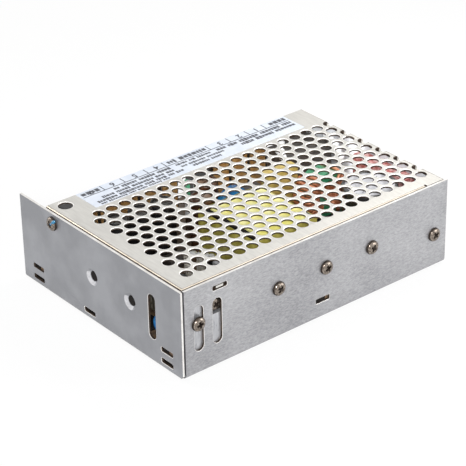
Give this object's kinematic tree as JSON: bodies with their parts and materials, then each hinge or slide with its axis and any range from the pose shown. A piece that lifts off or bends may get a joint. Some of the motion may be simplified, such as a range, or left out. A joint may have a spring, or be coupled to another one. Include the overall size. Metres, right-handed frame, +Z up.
{
  "type": "enclosed power supply",
  "caption": "Enclosed switching power supply: folded metal tray, perforated cover, open terminal side and a turning trimmer under an access hole.",
  "frame": {"origin": "middle of the underside, between the four mounting holes of the floor", "axes": "+X along the long front wall towards the open end, +Y towards the terminals, +Z up"},
  "size_m": [0.1306, 0.0996, 0.0362],
  "materials": {
    "tray_aluminium": "satin, fine brushed grain",
    "cover_steel": "satin, rolled sheet",
    "label_film": "smooth printed film",
    "screw_steel": "bright plated",
    "film_white": "smooth translucent film",
    "board_tan": "matt laminate",
    "standoff_brass": "turned",
    "terminal_black": "moulded",
    "strip_brass": "stamped, tinned",
    "trimmer_blue": "moulded",
    "rotor_white": "moulded",
    "ferrite": "ground, dark",
    "wrap_olive": "glossy tape",
    "winding_yellow": "glossy tape",
    "bobbin_black": "moulded",
    "core_green": "painted",
    "core_grey": "painted",
    "copper_wire": "enamelled wire",
    "sleeve_black": "shrunk sleeve, bare metal top",
    "sleeve_brown": "shrunk sleeve, bare metal top",
    "sleeve_blue": "shrunk sleeve, bare metal top",
    "case_yellow": "moulded",
    "dip_red": "dipped",
    "dip_green": "dipped",
    "disc_blue": "dipped",
    "case_black": "moulded",
    "tab_metal": "tinned",
    "pad_grey": "soft",
    "plate_aluminium": "mill"
  },
  "bodies": {
    "case": {"base_tray": "tray_aluminium", "top_cover": "cover_steel", "rating_label": "label_film", "cover_screws": "screw_steel", "device_screws": "screw_steel", "board_screws": "screw_steel", "terminal_screws": "screw_steel", "device_nuts": "screw_steel", "terminal_clamps": "screw_steel", "insulation_film": "film_white", "circuit_board": "board_tan", "board_standoffs": "standoff_brass", "mains_terminal_block": "terminal_black", "output_terminal_block": "terminal_black", "terminal_strips": "strip_brass", "trimmer_body": "trimmer_blue", "transformer_core": "ferrite", "transformer_wrap": "wrap_olive", "transformer_winding": "winding_yellow", "transformer_bobbin": "bobbin_black", "choke_base": "bobbin_black", "choke_core": "core_green", "output_choke_core": "core_grey", "choke_windings": "copper_wire", "output_choke_winding": "copper_wire", "bulk_capacitor": "sleeve_black", "output_capacitors": "sleeve_black", "brown_capacitors": "sleeve_brown", "blue_capacitor": "sleeve_blue", "yellow_film_capacitor": "case_yellow", "red_film_capacitor": "dip_red", "green_film_capacitor": "dip_green", "disc_capacitor": "disc_blue", "relay_case": "case_black", "bridge_rectifier": "case_black", "control_chip": "case_black", "transistor_bodies": "case_black", "rectifier_body": "case_black", "transistor_tabs": "tab_metal", "rectifier_tab": "tab_metal", "thermal_pads": "pad_grey", "heat_plate": "plate_aluminium"},
    "rotor": {"trimmer_rotor": "rotor_white"}
  },
  "joints": [
    {"name": "trimmer_turn", "type": "hinge", "parent": "case", "child": "rotor", "pos_m": [-0.057, 0.0297, 0.0152], "axis": [0, 0, 1], "range_deg": [-110, 110]}
  ]
}
